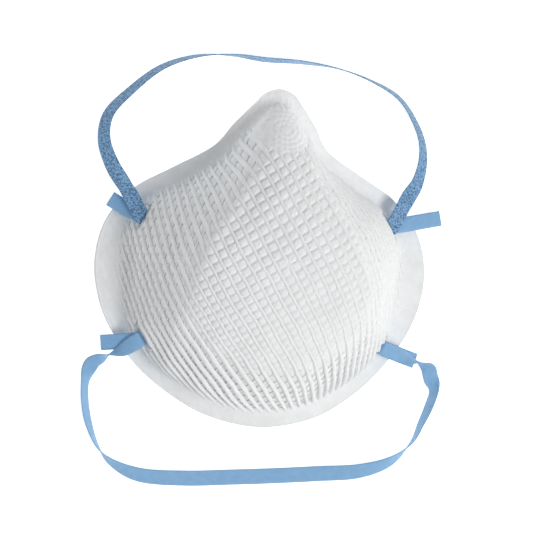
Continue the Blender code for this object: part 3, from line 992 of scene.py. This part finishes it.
def knot_rings(name):
    """A small overhand knot behind the slit, as rings round a trefoil's line."""
    point, around, up_wall, normal = slit_frame(name)
    angle = circle_steps(KNOT_STEPS)
    line = np.stack((np.sin(angle) + 2 * np.sin(2 * angle),
                     np.cos(angle) - 2 * np.cos(2 * angle), -np.sin(3 * angle)), -1)
    line = line * KNOT_SCALE
    along = unit(np.roll(line, -1, axis=0) - np.roll(line, 1, axis=0))
    side = unit(np.cross(along, UP))
    lift = np.cross(side, along)
    turn = circle_steps(KNOT_SIDES)[None, :, None]
    rings = (line[:, None] + side[:, None] * np.cos(turn) * KNOT_TAPE[0]
             + lift[:, None] * np.sin(turn) * KNOT_TAPE[1])
    return knot_middle(point, normal) + rings @ np.stack((around, up_wall, normal))


def build_strap_end(name):
    """The knot and the free tail at one slit."""
    rings, _, gone, across = ribbon(tail_stations(name))
    knot = knot_rings(name)
    count = rings.size // 3
    sides = knot.shape[1]
    knot_faces = grid_faces(len(knot), sides, start=count)
    last = count + (len(knot) - 1) * sides
    for k in range(sides):
        n = (k + 1) % sides
        knot_faces.append((last + k, last + n, count + n, count + k))
    vertices = np.vstack((rings.reshape(-1, 3), knot.reshape(-1, 3)))
    faces = tube_faces(rings) + knot_faces
    made = make_object("strap_tail_" + name, vertices, faces, STRAP_LOOK)
    on_knot = np.zeros(knot.size // 3)
    add_measures(made, np.concatenate((np.repeat(gone, len(across)), on_knot)),
                 np.concatenate((np.tile(across, len(gone)), on_knot)))
    return made


# ---------------- the nose cushion
# Half its span in columns, and the t of its two long borders.
CUSHION_HALF_SPAN = 3.9
CUSHION_TOP = 0.02
CUSHION_BOTTOM = 0.28
CUSHION_THICKNESS = 4.5
# How much thinner it is at its two ends, and how square its section and its ends are.
CUSHION_TAPER = 0.75
CUSHION_CROWN = 0.35
CUSHION_END = 14
CUSHION_GRID = (22, 97)
# The gaps behind the liner, which keep the two surfaces apart, and small pits.
CUSHION_GAP = (0.05, 0.1)
CUSHION_PITS = 0.05
PIT_WAVES = (2.9, 3.1)


def build_cushion():
    """A foam pad under the nose, thick in the middle and rounded off at its border."""
    rows, columns = CUSHION_GRID
    v, u = np.meshgrid(np.linspace(0.0, 1.0, rows), np.linspace(-1.0, 1.0, columns),
                       indexing="ij")
    t = CUSHION_TOP + (CUSHION_BOTTOM - CUSHION_TOP) * v
    points, _, _, normals = frame_at(u * CUSHION_HALF_SPAN, t)
    across = np.sin(math.pi * v)**CUSHION_CROWN * np.sqrt(1.0 - np.abs(u)**CUSHION_END)
    swell = across * (1.0 - CUSHION_TAPER * u**4)
    pits = CUSHION_PITS * np.sin(points[..., :2] * PIT_WAVES).prod(axis=-1)
    depth = STACK + CUSHION_GAP[1] + CUSHION_THICKNESS * swell + pits * across
    top = points - normals * (STACK + CUSHION_GAP[0])
    low = points - normals * depth[..., None]
    count = rows * columns
    faces = grid_faces(rows, columns, wrap=False, flip=True)
    faces += grid_faces(rows, columns, start=count, wrap=False)
    border = list(range(columns))
    border += [i * columns + columns - 1 for i in range(1, rows)]
    border += [(rows - 1) * columns + k for k in range(columns - 2, -1, -1)]
    border += [i * columns for i in range(rows - 2, 0, -1)]
    for a, b in zip(border, border[1:] + border[:1]):
        faces.append((a, b, count + b, count + a))
    vertices = np.vstack((top.reshape(-1, 3), low.reshape(-1, 3)))
    return make_object("nose_foam", vertices, faces, FOAM_LOOK)


# ---------------- the slits
# A slot's half length and half width, and how far it reaches above and below the face.
SLIT_CUT = (6.0, 1.05, 3.0, 6.5)
SLIT_SIDES = 28
# Below 1 this power makes the slot's outline fuller towards its ends.
SLIT_FULLNESS = 0.6


def build_slit_cutter():
    """Four slots through the whole wall, to be cut out of every layer."""
    half_length, half_width, above, below = SLIT_CUT
    turn = circle_steps(SLIT_SIDES)
    lift = np.round(np.sin(turn), 6)
    lift = np.sign(lift) * np.abs(lift)**SLIT_FULLNESS
    vertices, faces = [], []
    for name in SLITS:
        point, around, up_wall, normal = slit_frame(name)
        outline = (around * half_length * np.cos(turn)[:, None]
                   + up_wall * half_width * lift[:, None])
        start = len(vertices) * len(turn)
        vertices += [point + normal * above + outline, point - normal * below + outline]
        faces += grid_faces(2, len(turn), start=start, flip=True)
        faces.append(tuple(range(start, start + len(turn))))
        faces.append(tuple(range(start + len(turn), start + 2 * len(turn)))[::-1])
    return make_object("slit_cutter", np.vstack(vertices), faces, FACE_LOOK)


def cut_slits(made, cutter):
    """Cut the slots out of a layer for good."""
    cut = made.modifiers.new("slits", "BOOLEAN")
    cut.operation = "DIFFERENCE"
    cut.solver = "MANIFOLD"
    cut.object = cutter
    graph = bpy.context.evaluated_depsgraph_get()
    mesh = bpy.data.meshes.new_from_object(made.evaluated_get(graph))
    made.modifiers.clear()
    made.data = mesh


# ---------------- camera, floor and light
# The picture's size in pixels, and its scale at the mask.
PIXELS = 533
MM_PER_PIXEL = 0.412
YAW = math.radians(12.0)
ROLL = math.radians(2.4)
CAMERA_DISTANCE = 1.8
SENSOR_WIDTH = 36.0
# What the picture's middle shows, in millimetres right, up and towards the camera.
MIDDLE_OFFSET = (2.47, -3.3, 10.0)
# The key light in metres and watts, from the lower right.
KEY_PLACE = (0.47, -0.30, 1.00)
KEY_TARGET = (0.0, 0.0, 0.02)
KEY_SIZE = 0.5
KEY_POWER = 6.5
KEY_COLOUR = (1.0, 0.995, 0.985)
SKY_COLOUR = (0.95, 0.97, 1.0, 1.0)
SKY_STRENGTH = 0.49
FLOOR_COLOURS = ((0.93, 0.93, 0.93), (0.95, 0.95, 0.95))
FLOOR_GLOW = 0.65
FLOOR_HALF = 900.0
FLOOR_HEIGHT = -0.05


def add_camera():
    """The camera looks down on the mask from a little to its left, and is a little rolled."""
    right = Vector((math.cos(YAW), 0.0, math.sin(YAW)))
    up = Vector((0.0, 1.0, 0.0))
    back = Vector((-math.sin(YAW), 0.0, math.cos(YAW)))
    rolled_right = right * math.cos(ROLL) + up * math.sin(ROLL)
    rolled_up = up * math.cos(ROLL) - right * math.sin(ROLL)
    x, y, z = MIDDLE_OFFSET
    target = (rolled_right * x + rolled_up * y + back * z) * MM
    data = bpy.data.cameras.new("camera")
    data.sensor_width = SENSOR_WIDTH
    frame_width = PIXELS * MM_PER_PIXEL * MM
    data.lens = data.sensor_width * CAMERA_DISTANCE / frame_width
    camera = bpy.data.objects.new("camera", data)
    turn = Matrix((rolled_right, rolled_up, back)).transposed().to_4x4()
    camera.matrix_world = Matrix.Translation(target + back * CAMERA_DISTANCE) @ turn
    bpy.context.scene.collection.objects.link(camera)
    bpy.context.scene.camera = camera


def add_lights():
    """Soft light from the whole sky, and one broad key light."""
    world = bpy.data.worlds.new("studio")
    world.use_nodes = True
    sky = world.node_tree.nodes["Background"]
    sky.inputs["Color"].default_value = SKY_COLOUR
    sky.inputs["Strength"].default_value = SKY_STRENGTH
    bpy.context.scene.world = world
    data = bpy.data.lights.new("key", "AREA")
    data.shape = "DISK"
    data.size = KEY_SIZE
    data.energy = KEY_POWER
    data.color = KEY_COLOUR
    light = bpy.data.objects.new("key", data)
    light.location = KEY_PLACE
    aim = Vector(KEY_TARGET) - Vector(KEY_PLACE)
    light.rotation_euler = aim.to_track_quat("-Z", "Y").to_euler()
    bpy.context.scene.collection.objects.link(light)


def add_floor():
    """A plain pale floor that glows a little, so that it stays close to white."""
    look, tree, shader = new_material("studio_floor")
    colour = ramp_between(tree, object_noise(tree, 3.0), 0.3, 0.7, *FLOOR_COLOURS)
    dress(tree, shader, colour, roughness=0.9, specular=0.1)
    shader.inputs["Emission Color"].default_value = (1.0, 1.0, 1.0, 1.0)
    shader.inputs["Emission Strength"].default_value = FLOOR_GLOW
    signs = ((-1, -1), (1, -1), (1, 1), (-1, 1))
    corners = [(x * FLOOR_HALF, y * FLOOR_HALF, FLOOR_HEIGHT) for x, y in signs]
    make_object("studio_floor", corners, [(0, 1, 2, 3)], look)


# ---------------- everything together
def put_on_cup(piece, stand_in):
    """Fix a piece to the cup's body in place of its stand-in."""
    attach(piece, "cup")
    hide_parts(stand_in)


def place_cup():
    """The moulded cup: three layers with their slits cut through, the net and the foam."""
    cutter = build_slit_cutter()
    face = build_face()
    web = build_layer("filter_layer", 1, 2, FILTER_LOOK)
    liner = build_layer("liner_layer", 2, 3, LINER_LOOK)
    for layer in (face, web, liner):
        cut_slits(layer, cutter)
    bpy.data.objects.remove(cutter)
    put_on_cup(face, "cover_web")
    put_on_cup(web, "filter_media")
    put_on_cup(liner, "inner_liner")
    put_on_cup(build_net(), "outer_mesh_shell")
    foam = build_cushion()
    put_on_cup(foam, "nose_cushion")


def place_strap(level):
    """A strap's two ends on the cup, and the strap itself."""
    ends = []
    for side in ("left", "right"):
        name = level + "_" + side
        ends.append(build_strap_end(name))
        put_on_cup(ends[-1], "strap_end_" + name)
    strap, middle, length = build_strap(level)
    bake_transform(strap)
    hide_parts(level + "_strap")
    slit = slit_frame(level + "_left")[0]


add_camera()
add_lights()
add_floor()
bpy.context.scene.view_settings.view_transform = "Standard"
place_cup()
for level_name, level_loop in LOOPS.items():
    place_strap(level_name)
